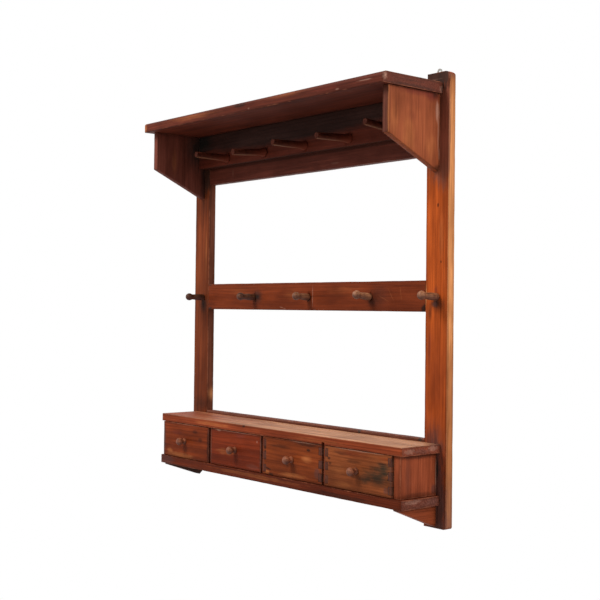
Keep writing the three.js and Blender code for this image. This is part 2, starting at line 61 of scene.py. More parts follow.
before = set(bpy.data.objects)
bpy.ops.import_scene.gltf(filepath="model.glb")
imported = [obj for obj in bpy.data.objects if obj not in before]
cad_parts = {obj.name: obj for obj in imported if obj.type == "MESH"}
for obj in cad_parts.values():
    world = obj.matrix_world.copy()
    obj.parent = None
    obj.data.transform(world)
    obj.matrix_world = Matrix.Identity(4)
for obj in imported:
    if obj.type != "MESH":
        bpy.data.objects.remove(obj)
CAD_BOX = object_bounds()
MM = 0.001

# ---- Settings ----


def srgb(code):
    """Linear colour from a six-figure hexadecimal one."""
    channels = [int(code[i : i + 2], 16) / 255 for i in (0, 2, 4)]
    return tuple(c / 12.92 if c <= 0.04045 else ((c + 0.055) / 1.055) ** 2.4 for c in channels)


def tone(name, description, code):
    return FloatVectorProperty(
        name=name, description=description, subtype="COLOR", min=0, max=1, default=srgb(code),
    )


def stain_of(name, board, code):
    return tone(name, f"Stain of the {board}", code)


def number(name, description, default, **kind):
    return FloatProperty(name=name, description=description, default=default, **kind)


def length(name, description, millimetres):
    return number(name, description, millimetres * MM, min=0, unit="LENGTH")


def angle(name, description, degrees):
    return number(name, description, math.radians(degrees), unit="ROTATION")


share = partial(number, min=0, max=2, subtype="FACTOR")
power = partial(number, min=0, unit="POWER")


class RackTones(PropertyGroup):
    """The middle colour of each board's stain, the colours of its marks, and the metal."""

    left_stile: tone("Left stile", "Darker red-brown stain of the left upright", "6f3319")
    stile_inner: tone("Stile inner side", "Redder stain on the left upright's inner side", "6a3a28")
    right_stile: tone("Right stile", "Bright orange shellac of the right upright", "a44819")
    stile_outer: tone("Stile outer side", "Pale rubbed shellac on the right upright's outer side", "d48e58")
    top_rail: stain_of("Top rail", "rail under the peg board", "643024")
    middle_rail: stain_of("Middle rail", "rail that holds the ball pegs", "6b2c13")
    bottom_rail: stain_of("Bottom rail", "rail behind the lower shelf", "622c1a")
    top_shelf: stain_of("Top shelf", "top shelf", "552417")
    # Dark stain together with painted shade: the brackets' inner faces under the top shelf are drawn darker
    # than the lit wood
    bracket_left: tone("Left upper bracket", "Dark stain of the left upper bracket", "6a362a")
    bracket_right: tone("Right upper bracket", "Orange-brown stain of the right upper bracket", "864428")
    bracket_edge: tone("Bracket edge", "Purple-brown front edge of the right upper bracket", "5a3228")
    peg_board: stain_of("Peg board", "board that holds the long pegs", "682e20")
    lower_shelf: tone("Lower shelf", "Stain on the lower shelf's front edge", "863a1e")
    # Dust and rubbed wood, drawn paler still as painted light for the light that falls on the shelf's top
    shelf_dust: tone("Rubbed shelf", "Pale rubbed wood of the lower shelf's top", "aa7858")
    bottom_board: stain_of("Bottom board", "board under the drawers", "58210d")
    end_panel: stain_of("End panels", "case's end panels and dividers", "874026")
    lower_bracket: stain_of("Lower brackets", "brackets under the case", "7e3a20")
    drawer_1: stain_of("Drawer 1", "first drawer's front", "753013")
    drawer_2: stain_of("Drawer 2", "second drawer's front", "6d2811")
    drawer_3: stain_of("Drawer 3", "third drawer's front", "723214")
    drawer_4: stain_of("Drawer 4", "fourth drawer's front", "824322")
    bare_pine: tone("Bare pine", "Unstained wood inside the drawers and at the back", "a87c50")
    long_peg: stain_of("Long pegs", "long pegs", "54281c")
    ball_peg: tone("Ball pegs", "Greyed wood of the ball pegs", "784c32")
    knob: tone("Knobs", "Worn stain of the drawer knobs", "80482e")
    end_grain: tone("End grain", "Greyish pink of the boards' ends", "74483c")
    worn_edge: tone("Worn edges", "Rubbed wood along the arrises", "a05e42")
    # Pale scratches and scuffs; along the drawers' top arrises it also stands for a painted highlight
    chalk: tone("Scratches", "Pale scratches and scuffs", "b88c78")
    # Thin shellac; on the right upper bracket's front arris it also stands for a painted highlight
    honey: tone("Rubbed shellac", "Pale orange where the shellac is thin", "b0683a")
    # Thick shellac, and also the painted shadow band that the top shelf casts along the top of the right
    # upper bracket
    ember: tone("Red shellac", "Dark red where the shellac is thick", "6a2c20")
    # Real dirt near the case, and also the painted shade on the undersides of the ball pegs and knobs and
    # round the pegs' feet
    mauve: tone("Old dirt", "Mauve-brown dirt near the case", "563630")
    moss: tone("Ink stain", "Green-black stain on the fourth drawer", "26241a")
    # Real dirt, knots and stains, and also painted shade: the shadow line under the peg board, its
    # underside, patches below the pegs, the long pegs' tips and the dark edges at the gaps
    grime: tone("Grime", "Old dirt in corners, knots and stains", "24140e")
    # Mostly painted shade: the top shelf's shadow on the peg board, stiles and brackets, the dark under the
    # case and in recesses, round a peg; also some real soot and dark joints
    soot: tone("Soot", "Green-black under the top shelf", "1c201e")
    iron: tone("Iron", "Dull grey of the hanging plates and screws", "8c8a84")
    rust: tone("Rust", "Rust on the plates and screws", "6a4028")


class WoodSettings(PropertyGroup):
    """How the pine's grain and wear are drawn."""

    ring_width: length("Ring width", "Distance between two growth rings", 5.5)
    ring_strength: share("Ring strength", "How much darker the late wood of each ring is", 0.16)
    fibre_strength: share("Fibre strength", "How strongly the fine fibres show", 0.3)
    streak_strength: share("Streak strength", "How strongly the long streaks of stain show", 0.26)
    cloud_strength: share("Cloud strength", "How strongly soft clouds of stain show", 0.3)
    wear_width: length("Wear width", "How far the rubbed colour reaches in from an arris", 2.4)
    wear_strength: share("Wear strength", "How bare the arrises are rubbed", 0.45)
    roughness: share("Roughness", "Roughness of the old shellac", 0.55)
    relief: length("Relief", "Depth of the grain's relief", 0.3)
    arris: length("Arris", "Width of the bevel on sawn edges", 0.9)
    unevenness: length("Unevenness", "How far a worn face strays from flat", 0.22)
    dent: length("Dents", "Depth of the dents along the arrises", 0.6)
    mesh_step: length("Mesh step", "Spacing of the points on a board", 15)


class PhotoView(PropertyGroup):
    """The camera, where the photograph was taken from."""

    place: FloatVectorProperty(
        name="Place", description="Where the camera stands", subtype="TRANSLATION", unit="LENGTH",
        default=(2.1129, -1.8110, -0.42245),
    )
    azimuth: angle("Azimuth", "Round from the front", 50.031)
    elevation: angle("Elevation", "Above the horizon", -1.105)
    roll: angle("Roll", "Tilt of the picture", 0.643)
    lens: number("Lens", "Focal length on a 36 mm sensor", 66.36, unit="CAMERA")
    shift_x: number("Shift X", "Sideways shift of the frame", 0.0021)
    shift_y: number("Shift Y", "Upward shift of the frame", -0.0205)


class StageSettings(PropertyGroup):
    """The studio: floor, background and lamps."""

    floor_drop: length("Floor drop", "From the rack's feet down to the floor", 900)
    floor_radius: length("Floor radius", "Where the pale floor has faded to white", 2600)
    surround: share("Surround", "Light from the white surround", 0.42)
    key_azimuth: angle("Key azimuth", "Round from the front to the key lamp", -18)
    key_elevation: angle("Key elevation", "Up from the horizon to the key lamp", 47)
    key_distance: length("Key distance", "From the rack's middle to the key lamp", 3200)
    key_size: length("Key size", "Width of the key lamp", 1400)
    key_power: power("Key power", "Power of the key lamp", 96)
    side_azimuth: angle("Side azimuth", "Round from the front to the side lamp", 96)
    side_elevation: angle("Side elevation", "Up from the horizon to the side lamp", 24)
    side_distance: length("Side distance", "From the rack's middle to the side lamp", 3000)
    side_size: length("Side size", "Width of the side lamp", 2200)
    side_power: power("Side power", "Power of the side lamp", 56)


class PlateRackSettings(PropertyGroup):
    """Everything that can be changed on the rack."""

    tones: PointerProperty(type=RackTones, name="Tones", description="Colours of the boards and the metal")
    wood: PointerProperty(type=WoodSettings, name="Wood", description="Grain and wear")
    view: PointerProperty(type=PhotoView, name="View", description="The camera")
    stage: PointerProperty(type=StageSettings, name="Stage", description="The studio")


def settings():
    return bpy.context.scene.plate_rack


def colour_of(name):
    return tuple(getattr(settings().tones, name))


# ---- Shader nodes ----


class Nodes:
    """Adds nodes to one tree. A value is a number, a vector, a colour or another node's output."""

    def __init__(self, tree):
        self.tree = tree

    def add(self, kind, inputs=(), **choices):
        node = self.tree.nodes.new(kind)
        for name, choice in choices.items():
            setattr(node, name, choice)
        for key, value in dict(inputs).items():
            self.put(node.inputs[key], value)
        return node

    def put(self, socket, value):
        if isinstance(value, NodeSocket):
            self.tree.links.new(value, socket)
        elif socket.type == "RGBA" and len(value) == 3:
            socket.default_value = (*value, 1)
        else:
            socket.default_value = value

    def where(self, kind="Object"):
        """The place on the piece, or with "Normal" the way that its surface faces."""
        return self.add("ShaderNodeTexCoord").outputs[kind]

    def math(self, operation, *values):
        return self.add("ShaderNodeMath", enumerate(values), operation=operation).outputs[0]

    def vector(self, operation, *values):
        node = self.add("ShaderNodeVectorMath", enumerate(values), operation=operation)
        return node.outputs["Value" if operation in ("LENGTH", "DOT_PRODUCT") else "Vector"]

    def combine(self, *values):
        return self.add("ShaderNodeCombineXYZ", enumerate(values)).outputs[0]

    def separate(self, vector):
        return self.add("ShaderNodeSeparateXYZ", {0: vector}).outputs

    def fade(self, value, start, end, low=0.0, high=1.0):
        """low at start, high at end, and a smooth change between them."""
        inputs = {"Value": value, "From Min": start, "From Max": end, "To Min": low, "To Max": high}
        return self.add("ShaderNodeMapRange", inputs, interpolation_type="SMOOTHSTEP").outputs["Result"]

    def cloud(self, place, scale, seed, detail=2.0, roughness=0.5):
        """Soft noise about 0.5. scale is a number, or one for each axis."""
        if not isinstance(scale, (int, float)):
            place = self.vector("MULTIPLY", place, scale)
            scale = 1.0
        inputs = {"Vector": place, "W": seed, "Scale": scale, "Detail": detail, "Roughness": roughness}
        return self.add("ShaderNodeTexNoise", inputs, noise_dimensions="4D").outputs["Fac"]

    def mix(self, share_of_b, a, b):
        node = self.add("ShaderNodeMix", data_type="RGBA")
        for index, value in ((0, share_of_b), (6, a), (7, b)):
            self.put(node.inputs[index], value)
        return node.outputs[2]

    def curve(self, value, stops):
        """A value through (place, height) stops."""
        node = self.add("ShaderNodeValToRGB", {"Fac": value})
        ramp = node.color_ramp
        while len(ramp.elements) < len(stops):
            ramp.elements.new(0.5)
        for element, (place, height) in zip(ramp.elements, stops):
            element.position = place
            element.color = (height, height, height, 1)
        return node.outputs["Color"]

    def dim(self, colour, light):
        """A colour made lighter or darker. Green and blue move a little further than red, as stain does."""
        factors = self.combine(light, self.math("POWER", light, 1.12), self.math("POWER", light, 1.2))
        return self.vector("MULTIPLY", colour, factors)


def new_material(name):
    material = bpy.data.materials.new(name)
    material.use_nodes = True
    material.node_tree.nodes.clear()
    return material, Nodes(material.node_tree)


def finish_material(nodes, colour, roughness, height, relief, specular=0.06, metallic=0.0):
    bump = nodes.add("ShaderNodeBump", {"Height": height, "Strength": 1.0, "Distance": relief})
    shader = nodes.add("ShaderNodeBsdfPrincipled", {
        "Base Color": colour, "Roughness": roughness, "Metallic": metallic,
        "Specular IOR Level": specular, "Normal": bump.outputs["Normal"],
    })
    nodes.add("ShaderNodeOutputMaterial", {"Surface": shader.outputs["BSDF"]})


# ---- Marks ----

# Each face of a board: the axes across it, up it and through it, and whether it is at the low end (0)
# or at the high one (1).
FACES = {
    "front": (0, 2, 1, 0), "back": (0, 2, 1, 1),
    "left": (1, 2, 0, 0), "right": (1, 2, 0, 1),
    "under": (0, 1, 2, 0), "top": (0, 1, 2, 1),
}
# The half width in millimetres of a mark that runs on past the ends of any board
ENDLESS = 3000


@dataclass
class Mark:
    """A stain, scratch, knot, rubbed patch or painted shadow on one face of a board: a soft ellipse of
    another tone.

    across and up give its middle in shares of the face, and width and height are half its size in
    millimetres. amount says how well it covers, soft how wide its edge is, and ragged how torn. turn
    tilts it, in degrees, and depth is how far in millimetres it goes in from the face.
    """

    face: str
    across: float
    up: float
    width: float
    height: float
    tone: str
    amount: float = 0.7
    soft: float = 0.6
    ragged: float = 0.35
    turn: float = 0.0
    depth: float = 6.0

    def cover(self, nodes, place, box, colour, torn):
        """The colour with this mark over it. torn is the noise that tears its outline."""
        across, up, through, end = FACES[self.face]
        low, high = box
        centre = Vector()
        centre[through] = box[end][through]
        for axis, at in ((across, self.across), (up, self.up)):
            centre[axis] = low[axis] + (high[axis] - low[axis]) * at
        turn = math.radians(self.turn)
        ways = [Vector(), Vector(), Vector()]
        ways[0][across], ways[0][up] = math.cos(turn), math.sin(turn)
        ways[1][across], ways[1][up] = -math.sin(turn), math.cos(turn)
        ways[2][through] = 1
        away = nodes.vector("SUBTRACT", place, tuple(centre))
        reaches = [
            nodes.vector("DOT_PRODUCT", away, tuple(way / (radius * MM)))
            for way, radius in zip(ways, (self.width, self.height, self.depth))
        ]
        reach = nodes.vector("LENGTH", nodes.combine(*reaches))
        if self.ragged:
            outline = nodes.math("SUBTRACT", reach, self.ragged)
            reach = nodes.math("MULTIPLY_ADD", torn, self.ragged * 2, outline)
        cover = nodes.fade(reach, 1.0, 1.0 - self.soft, 0.0, self.amount)
        return nodes.mix(cover, colour, colour_of(self.tone))


def whole(face, tone_name, amount=1.0, depth=1.6):
    """A stain or painted shade over one whole face, up to its arrises."""
    return Mark(face, 0.5, 0.5, ENDLESS, ENDLESS, tone_name, amount, ragged=0, depth=depth)


# A mark on the front, on the right side and on the top of a board, and one on the front with no clear edge
front, right, top = (partial(Mark, face) for face in ("front", "right", "top"))
haze = partial(front, soft=1.0)


# ---- Pine ----

# The order of a place's axes for each direction of grain: along, across, through.
GRAIN_AXES = {"x": (0, 2, 1), "y": (1, 2, 0), "z": (2, 0, 1), "z_side": (2, 1, 0), "x_flat": (0, 1, 2)}
PITH_DEPTH = 90 * MM
PITH_DRIFT = 60 * MM
RING_RIPPLE = 0.9
ROUGHNESS_SPREAD = 0.16
END_GRAIN_REACH = 1.6 * MM
# How far the dark edges reach in: dirt, and painted shade at the gaps between parts
DARK_RIM_REACH = 7 * MM


def edge_gap(nodes, place, low, high):
    """Distance to the nearest edge of a box, for a place on one of its faces, and to the nearer end
    on each axis."""
    centre = (low + high) / 2
    half = (high - low) / 2
    offset = nodes.vector("ABSOLUTE", nodes.vector("SUBTRACT", place, tuple(centre)))
    gaps = nodes.separate(nodes.vector("SUBTRACT", tuple(half), offset))
    nearest = nodes.math("MINIMUM", gaps[0], gaps[1])
    further = nodes.math("MAXIMUM", gaps[0], gaps[1])
    edge = nodes.math("MINIMUM", further, nodes.math("MAXIMUM", nearest, gaps[2]))
    return edge, gaps


def pine(name, base, grain, box, seed, marks=(), contrast=1.0, wear=1.0, rim=0.25, ends=0.45):
    """Old pine for one board. contrast is how strongly its grain shows, wear how bare its arrises are, rim
    how dark its edges are, which is dirt and also painted shade at the gaps between parts, and ends how
    grey its end grain is. A noise's scale is given along the grain, across it and through it."""
    wood = settings().wood
    low, high = box
    material, nodes = new_material(name)
    place = nodes.where()
    parts = nodes.separate(nodes.vector("SUBTRACT", place, tuple((low + high) / 2)))
    along, across, through = (parts[axis] for axis in GRAIN_AXES[grain])
    local = nodes.combine(along, across, through)

    # Stains and scratches
    colour = base
    torn = nodes.cloud(local, (32, 130, 130), seed + 4, detail=4.0, roughness=0.6)
    for mark in marks:
        colour = mark.cover(nodes, place, box, colour, torn)

    # Growth rings round a pith that lies beside the board and wanders along it
    drift = nodes.cloud(local, (1.3, 4, 4), seed, detail=1.0)
    ripple = nodes.cloud(local, (4, 40, 40), seed + 5)
    side = nodes.math("MULTIPLY_ADD", drift, PITH_DRIFT, across)
    depth = nodes.math("ADD", through, PITH_DEPTH)
    radius = nodes.vector("LENGTH", nodes.combine(side, depth, 0.0))
    rings = nodes.math("MULTIPLY_ADD", ripple, RING_RIPPLE, nodes.math("DIVIDE", radius, wood.ring_width))
    ring = nodes.curve(nodes.math("FRACT", rings), ((0, 0.1), (0.5, 0.3), (0.86, 1.0), (1.0, 0.1)))
    late = wood.ring_strength * contrast
    light = nodes.fade(ring, 0.1, 1.0, 1 + late / 2, 1 - late)

    # Streaks, thin lines and cloudy blotches of stain, and the fine fibres
    streak = nodes.cloud(local, (2.4, 70, 70), seed + 2, detail=3.0, roughness=0.6)
    thin = nodes.cloud(local, (5, 260, 260), seed + 6)
    blotch = nodes.cloud(local, (7, 20, 20), seed + 3, detail=3.0, roughness=0.6)
    fibre = nodes.cloud(local, (14, 700, 700), seed + 1)
    strength = wood.streak_strength * contrast
    for cloud, start, end, low_light, high_light in (
        (streak, 0.36, 0.68, 1 + 0.5 * strength, 1 - strength),
        (thin, 0.35, 0.65, 1 + 0.4 * strength, 1 - 0.5 * strength),
        (blotch, 0.32, 0.7, 1 + 0.7 * wood.cloud_strength, 1 - 0.8 * wood.cloud_strength),
        (fibre, 0.3, 0.7, 1 - wood.fibre_strength / 2, 1 + wood.fibre_strength / 2),
    ):
        light = nodes.math("MULTIPLY", light, nodes.fade(cloud, start, end, low_light, high_light))
    colour = nodes.dim(colour, light)

    # Speckled end grain, dark edges that are dirt and painted shade at the gaps, and arrises rubbed here and
    # there
    gap, end_gaps = edge_gap(nodes, place, low, high)
    end_gap = end_gaps[GRAIN_AXES[grain][0]]
    speckle = nodes.fade(nodes.cloud(place, 330, seed, detail=3.0, roughness=0.7), 0.4, 0.62, 0.5, 1.4)
    speckled = nodes.dim(colour_of("end_grain"), speckle)
    at_end = nodes.fade(end_gap, END_GRAIN_REACH, END_GRAIN_REACH / 2, 0.0, ends)
    colour = nodes.mix(at_end, colour, speckled)
    dark_rim = nodes.math("MULTIPLY_ADD", nodes.math("SUBTRACT", blotch, 0.5), 2 * DARK_RIM_REACH, gap)
    colour = nodes.mix(nodes.fade(dark_rim, DARK_RIM_REACH, 1 * MM, 0.0, rim), colour, colour_of("grime"))
    patch = nodes.cloud(place, 24, seed + 7, detail=4.0, roughness=0.65)
    rubbed = nodes.math("MULTIPLY_ADD", nodes.math("SUBTRACT", patch, 0.42), wood.wear_width * 5, gap)
    rub = nodes.fade(rubbed, wood.wear_width, wood.wear_width * 0.3, 0.0, wood.wear_strength * wear)
    colour = nodes.mix(rub, colour, colour_of("worn_edge"))

    roughness = nodes.math("MULTIPLY_ADD", fibre, ROUGHNESS_SPREAD, wood.roughness - ROUGHNESS_SPREAD / 2)
    height = nodes.math("MULTIPLY_ADD", ring, 0.4, nodes.math("MULTIPLY", fibre, 0.5))
    height = nodes.math("MULTIPLY_ADD", streak, 0.8, height)
    finish_material(nodes, colour, roughness, height, wood.relief)
    return material


# ---- Worn meshes ----

WELD_GAP = 0.01 * MM
CUT_GAP = 0.001 * MM
FLAT_ANGLE = math.radians(0.5)
SHARP_ANGLE = math.radians(50)
SHORTEST_BEVEL = 8 * MM
CORNER_STEPS = 4
HOUSING_GAP = 0.3 * MM
# Slow waves on the faces: the noise's scale, what is added to it, and the share of that which counts
WAVE_SCALE, WAVE_LIFT, WAVE_SHARE = 11, 0.6, 0.6
# Dents along the edges: the noise's scale, what is taken off it, and how near an edge they are
DENT_SCALE, DENT_START, DENT_ZONE = 43, 0.05, 2.5 * MM


def mesh_of(node):
    """The shape of a CAD node as a clean mesh: shared corners, and one face for each flat."""
    mesh = bmesh.new()
    mesh.from_mesh(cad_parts[node].data)
    bmesh.ops.remove_doubles(mesh, verts=mesh.verts, dist=WELD_GAP)
    bmesh.ops.dissolve_limit(mesh, angle_limit=FLAT_ANGLE, verts=mesh.verts, edges=mesh.edges)
    return mesh


def bevel_sharp(mesh, width):
    """Rounds the sharp outer edges that are long enough to take it."""
    sharp = [e for e in mesh.edges if e.calc_face_angle(0) > SHARP_ANGLE and e.is_convex
             and e.calc_length() > SHORTEST_BEVEL]
    bmesh.ops.bevel(
        mesh, geom=sharp, offset=width, segments=2, profile=0.5, affect="EDGES", clamp_overlap=True,
    )


def cut_across(mesh, axis, at):
    """Adds a line of points all round the mesh."""
    place, direction = Vector(), Vector()
    place[axis], direction[axis] = at, 1
    geometry = mesh.verts[:] + mesh.edges[:] + mesh.faces[:]
    bmesh.ops.bisect_plane(mesh, geom=geometry, dist=CUT_GAP, plane_co=place, plane_no=direction)


def slice_grid(mesh, box, step):
    """Cuts the mesh along a grid, so that its faces can be uneven."""
    low, high = box
    for axis in range(3):
        count = int((high[axis] - low[axis]) / step)
        for i in range(1, count):
            cut_across(mesh, axis, low[axis] + (high[axis] - low[axis]) * i / count)


def round_corner(mesh, box, axes, ends, radius):
    """Wears one corner of a board to an arc. axes are the two that the arc turns in, and ends says
    which corner."""
    corner = Vector([box[end][axis] for axis, end in zip(axes, ends)])
    inward = Vector([1 - 2 * end for end in ends])
    for i in range(1, CORNER_STEPS + 1):
        reach = radius * (1 - math.cos(math.pi / 2 * i / CORNER_STEPS))
        for axis, at, way in zip(axes, corner, inward):
            cut_across(mesh, axis, at + way * reach)
    for vert in mesh.verts:
        place = Vector([vert.co[axis] for axis in axes])
        centre = corner + inward * radius
        away = place - centre
        outside = all(gap * way < 0 for gap, way in zip(away, inward))
        if outside and away.length > radius:
            worn = centre + away.normalized() * radius
            for axis, at in zip(axes, worn):
                vert.co[axis] = at


def close_notches(mesh, box, dividers):
    """Closes the open fronts of the housings in a board's front edge that these dividers stand in."""
    low, high = box
    for divider in dividers:
        near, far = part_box(divider)
        start = Vector((near.x - HOUSING_GAP, low.y, max(low.z, near.z - HOUSING_GAP)))
        end = Vector((far.x + HOUSING_GAP, near.y - HOUSING_GAP, min(high.z, far.z + HOUSING_GAP)))
        bmesh.ops.create_cube(mesh, matrix=Matrix.LocRotScale((start + end) / 2, None, end - start))


def wear_down(mesh, box, seed, unevenness, dent):
    """Moves points inward a little, for waves and dents."""
    low, high = box
    mesh.normal_update()
    for vert in mesh.verts:
        gaps = sorted(min(vert.co[i] - low[i], high[i] - vert.co[i]) for i in range(3))
        wave = noise.noise(vert.co * WAVE_SCALE + Vector((seed, 0, 0)))
        depth = unevenness * (wave + WAVE_LIFT) * WAVE_SHARE
        if gaps[1] < DENT_ZONE:
            bite = noise.noise(vert.co * DENT_SCALE + Vector((0, seed, 0))) - DENT_START
            depth += dent * max(0.0, bite)
        vert.co -= vert.normal * depth


def new_object(name, data):
    """Puts a bmesh, a lamp or a camera into the scene."""
    if isinstance(data, bmesh.types.BMesh):
        mesh, data = data, bpy.data.meshes.new(name)
        mesh.to_mesh(data)
        mesh.free()
    made = bpy.data.objects.new(name, data)
    bpy.context.scene.collection.objects.link(made)
    return made


def add_piece(name, mesh, material, body, node, sharp_angle=40):
    """Turns a bmesh into a piece that rides on a body and stands for a CAD node."""
    piece = new_object(name, mesh)
    piece.data.shade_smooth()
    piece.data.set_sharp_from_angle(angle=math.radians(sharp_angle))
    piece.data.materials.append(material)
    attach(piece, body)
    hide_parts(node)


def add_board(node, tone_name, grain, seed, marks=(), body="rack", slot="frame_pine", corners=(),
              closed=(), step=None, **look):
    """One worn board in place of its CAD node. corners are (axes, ends, radius in millimetres), and closed
    names the dividers whose housings don't show in the board's front edge. step is the spacing of its
    points, where that isn't the usual one, and look goes to pine."""
    wood = settings().wood
    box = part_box(node)
    mesh = mesh_of(node)
    bevel_sharp(mesh, wood.arris)
    close_notches(mesh, box, closed)
    slice_grid(mesh, box, step or wood.mesh_step)
    for axes, ends, radius in corners:
        round_corner(mesh, box, axes, ends, radius * MM)
    wear_down(mesh, box, seed, wood.unevenness, wood.dent)
    material = pine(f"{node}_pine", colour_of(tone_name), grain, box, seed, marks, **look)
    add_piece(f"{node}_worn", mesh, material, body, node)


# ---- Turned wood ----

CREASE_ANGLE = math.radians(46)
CREASE = 0.75
SUBDIVISIONS = 2
TIP_LENGTH = 8 * MM
TIP_RAGGED = 7 * MM


def turned_piece(node, material, body):
    """A turned CAD node with its facets rounded out."""
    mesh = mesh_of(node)
    crease = mesh.edges.layers.float.new("crease_edge")
    for edge in mesh.edges:
        if edge.calc_face_angle(0) > CREASE_ANGLE:
            edge[crease] = CREASE
    cage = new_object(f"{node}_cage", mesh)
    cage.modifiers.new("round", "SUBSURF").levels = SUBDIVISIONS
    evaluated = cage.evaluated_get(bpy.context.evaluated_depsgraph_get())
    smooth = bmesh.new()
    smooth.from_mesh(evaluated.to_mesh())
    bpy.data.objects.remove(cage)
    add_piece(f"{node}_turned", smooth, material, body, node, sharp_angle=50)


def turned_wood(node, tone_name, seed, brightness, tip=("chalk", 0.15), under=("mauve", 0.65, -0.4, 0.5),
                foot=("grime", 0.85, 14), gloss=0.12):
    """Old turned wood: fibres along the peg, a tip of its own tone (pale for wear, dark for painted shade),
    and a foot of another tone, with its strength and its length in millimetres. under is light and shade
    painted on the underside, a dark tone for painted shade and a pale one for a painted highlight: its tone,
    how much of it there is, and where it starts and is full, 1 being the lowest line and -1 the highest one."""
    wood = settings().wood
    low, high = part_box(node)
    material, nodes = new_material(f"{node}_wood")
    place = nodes.where()
    fibre = nodes.cloud(place, (420, 20, 420), seed)
    blotch = nodes.cloud(place, 85, seed + 1, detail=3.0, roughness=0.6)
    light = nodes.fade(blotch, 0.32, 0.68, 1.3 * brightness, 0.6 * brightness)
    light = nodes.math("MULTIPLY", light, nodes.fade(fibre, 0.35, 0.7, 1.2, 0.65))
    colour = nodes.dim(colour_of(tone_name), light)
    depth = nodes.math("MULTIPLY_ADD", blotch, TIP_RAGGED, nodes.separate(place)[1])
    tip_tone, tip_wear = tip
    at_tip = nodes.fade(depth, low.y + TIP_LENGTH, low.y + TIP_LENGTH / 2, 0.0, tip_wear * brightness)
    colour = nodes.mix(at_tip, colour, colour_of(tip_tone))
    # Painted light on the underside: shade under the ball pegs and knobs, a highlight along the long pegs'
    # lower edge
    facing = nodes.separate(nodes.where("Normal"))[2]
    down = nodes.math("SUBTRACT", nodes.math("MULTIPLY", nodes.math("SUBTRACT", blotch, 0.5), 0.6), facing)
    under_tone, under_amount, starts, full = under
    colour = nodes.mix(nodes.fade(down, starts, full, 0.0, under_amount), colour, colour_of(under_tone))
    foot_tone, foot_amount, foot_length = foot
    at_foot = nodes.fade(depth, high.y - foot_length * MM, high.y, 0.0, foot_amount)
    colour = nodes.mix(at_foot, colour, colour_of(foot_tone))
    roughness = nodes.math("MULTIPLY_ADD", blotch, 0.2, wood.roughness - 0.15)
    finish_material(nodes, colour, roughness, fibre, wood.relief, specular=gloss)
    return material


# ---- Camera and studio ----

SENSOR_WIDTH = 36  # millimetres
WHITE = (1, 1, 1)
FLOOR_TONE = (0.82, 0.82, 0.81)
# Where the floor starts to fade and where it ends, as shares of its radius
FLOOR_FADE, FLOOR_END = 0.45, 1.5


def outward(azimuth, elevation):
    """The direction from the rack to something that stands round it, 0 being straight in front."""
    return Vector((math.sin(azimuth) * math.cos(elevation), -math.cos(azimuth) * math.cos(elevation),
                   math.sin(elevation)))


class PLATERACK_OT_camera(Operator):
    """Stands the camera where the photograph was taken from"""

    bl_idname = "plate_rack.camera"
    bl_label = "Camera"

    def execute(self, context):
        view = context.scene.plate_rack.view
        back = outward(view.azimuth, view.elevation)
        side = (-back).cross(Vector((0, 0, 1))).normalized()
        up = side.cross(-back)
        c, s = math.cos(view.roll), math.sin(view.roll)
        columns = (c * side + s * up, c * up - s * side, back)
        data = bpy.data.cameras.new("photo_camera")
        data.lens = view.lens
        data.sensor_width = SENSOR_WIDTH
        data.shift_x, data.shift_y = view.shift_x, view.shift_y
        camera = new_object("photo_camera", data)
        camera.matrix_world = Matrix.Translation(view.place) @ Matrix(columns).transposed().to_4x4()
        context.scene.camera = camera
        return {"FINISHED"}


def add_lamp(name, place, target, size, watts):
    data = bpy.data.lights.new(name, "AREA")
    data.shape = "DISK"
    data.size = size
    data.energy = watts
    lamp = new_object(name, data)
    lamp.location = place
    lamp.rotation_euler = (target - place).to_track_quat("-Z", "Y").to_euler()


class PLATERACK_OT_stage(Operator):
    """Makes the pale floor, the white background and the lamps"""

    bl_idname = "plate_rack.stage"
    bl_label = "Stage"

    def execute(self, context):
        stage = context.scene.plate_rack.stage
        low, high = CAD_BOX
        centre = (low + high) / 2
        mesh = bmesh.new()
        bmesh.ops.create_circle(mesh, cap_ends=True, segments=96, radius=stage.floor_radius * FLOOR_END)
        floor = new_object("floor", mesh)
        floor.location = (centre.x, centre.y, low.z - stage.floor_drop)
        floor.data.materials.append(self.floor_material(stage.floor_radius))

        world = bpy.data.worlds.new("studio")
        context.scene.world = world
        world.use_nodes = True
        nodes = Nodes(world.node_tree)
        world.node_tree.nodes.clear()
        rays = nodes.add("ShaderNodeLightPath").outputs
        seen = nodes.math("MAXIMUM", rays["Is Camera Ray"], rays["Is Glossy Ray"])
        seen = nodes.math("MAXIMUM", seen, rays["Is Transmission Ray"])
        strength = nodes.math("MULTIPLY_ADD", seen, 1 - stage.surround, stage.surround)
        light = nodes.add("ShaderNodeBackground", {"Color": WHITE, "Strength": strength})
        nodes.add("ShaderNodeOutputWorld", {"Surface": light.outputs[0]})

        for lamp in ("key", "side"):
            names = (f"{lamp}_{what}" for what in ("azimuth", "elevation", "distance", "size", "power"))
            azimuth, elevation, distance, size, watts = (getattr(stage, name) for name in names)
            add_lamp(f"{lamp}_lamp", centre + outward(azimuth, elevation) * distance, centre, size, watts)
        context.scene.view_settings.view_transform = "Standard"
        return {"FINISHED"}

    @staticmethod
    def floor_material(radius):
        """Pale and matt under the rack, fading to the white of the background."""
        material, nodes = new_material("pale_floor")
        matt = nodes.add("ShaderNodeBsdfDiffuse", {"Color": FLOOR_TONE}).outputs[0]
        glow = nodes.add("ShaderNodeEmission", {"Color": WHITE}).outputs[0]
        clear = nodes.add("ShaderNodeBsdfTransparent").outputs[0]
        seen = nodes.add("ShaderNodeLightPath").outputs["Is Camera Ray"]
        far = nodes.add("ShaderNodeMixShader", {0: seen, 1: clear, 2: glow}).outputs[0]
        faded = nodes.fade(nodes.vector("LENGTH", nodes.where()), radius * FLOOR_FADE, radius)
        both = nodes.add("ShaderNodeMixShader", {0: faded, 1: matt, 2: far})
        nodes.add("ShaderNodeOutputMaterial", {"Surface": both.outputs[0]})
        return material
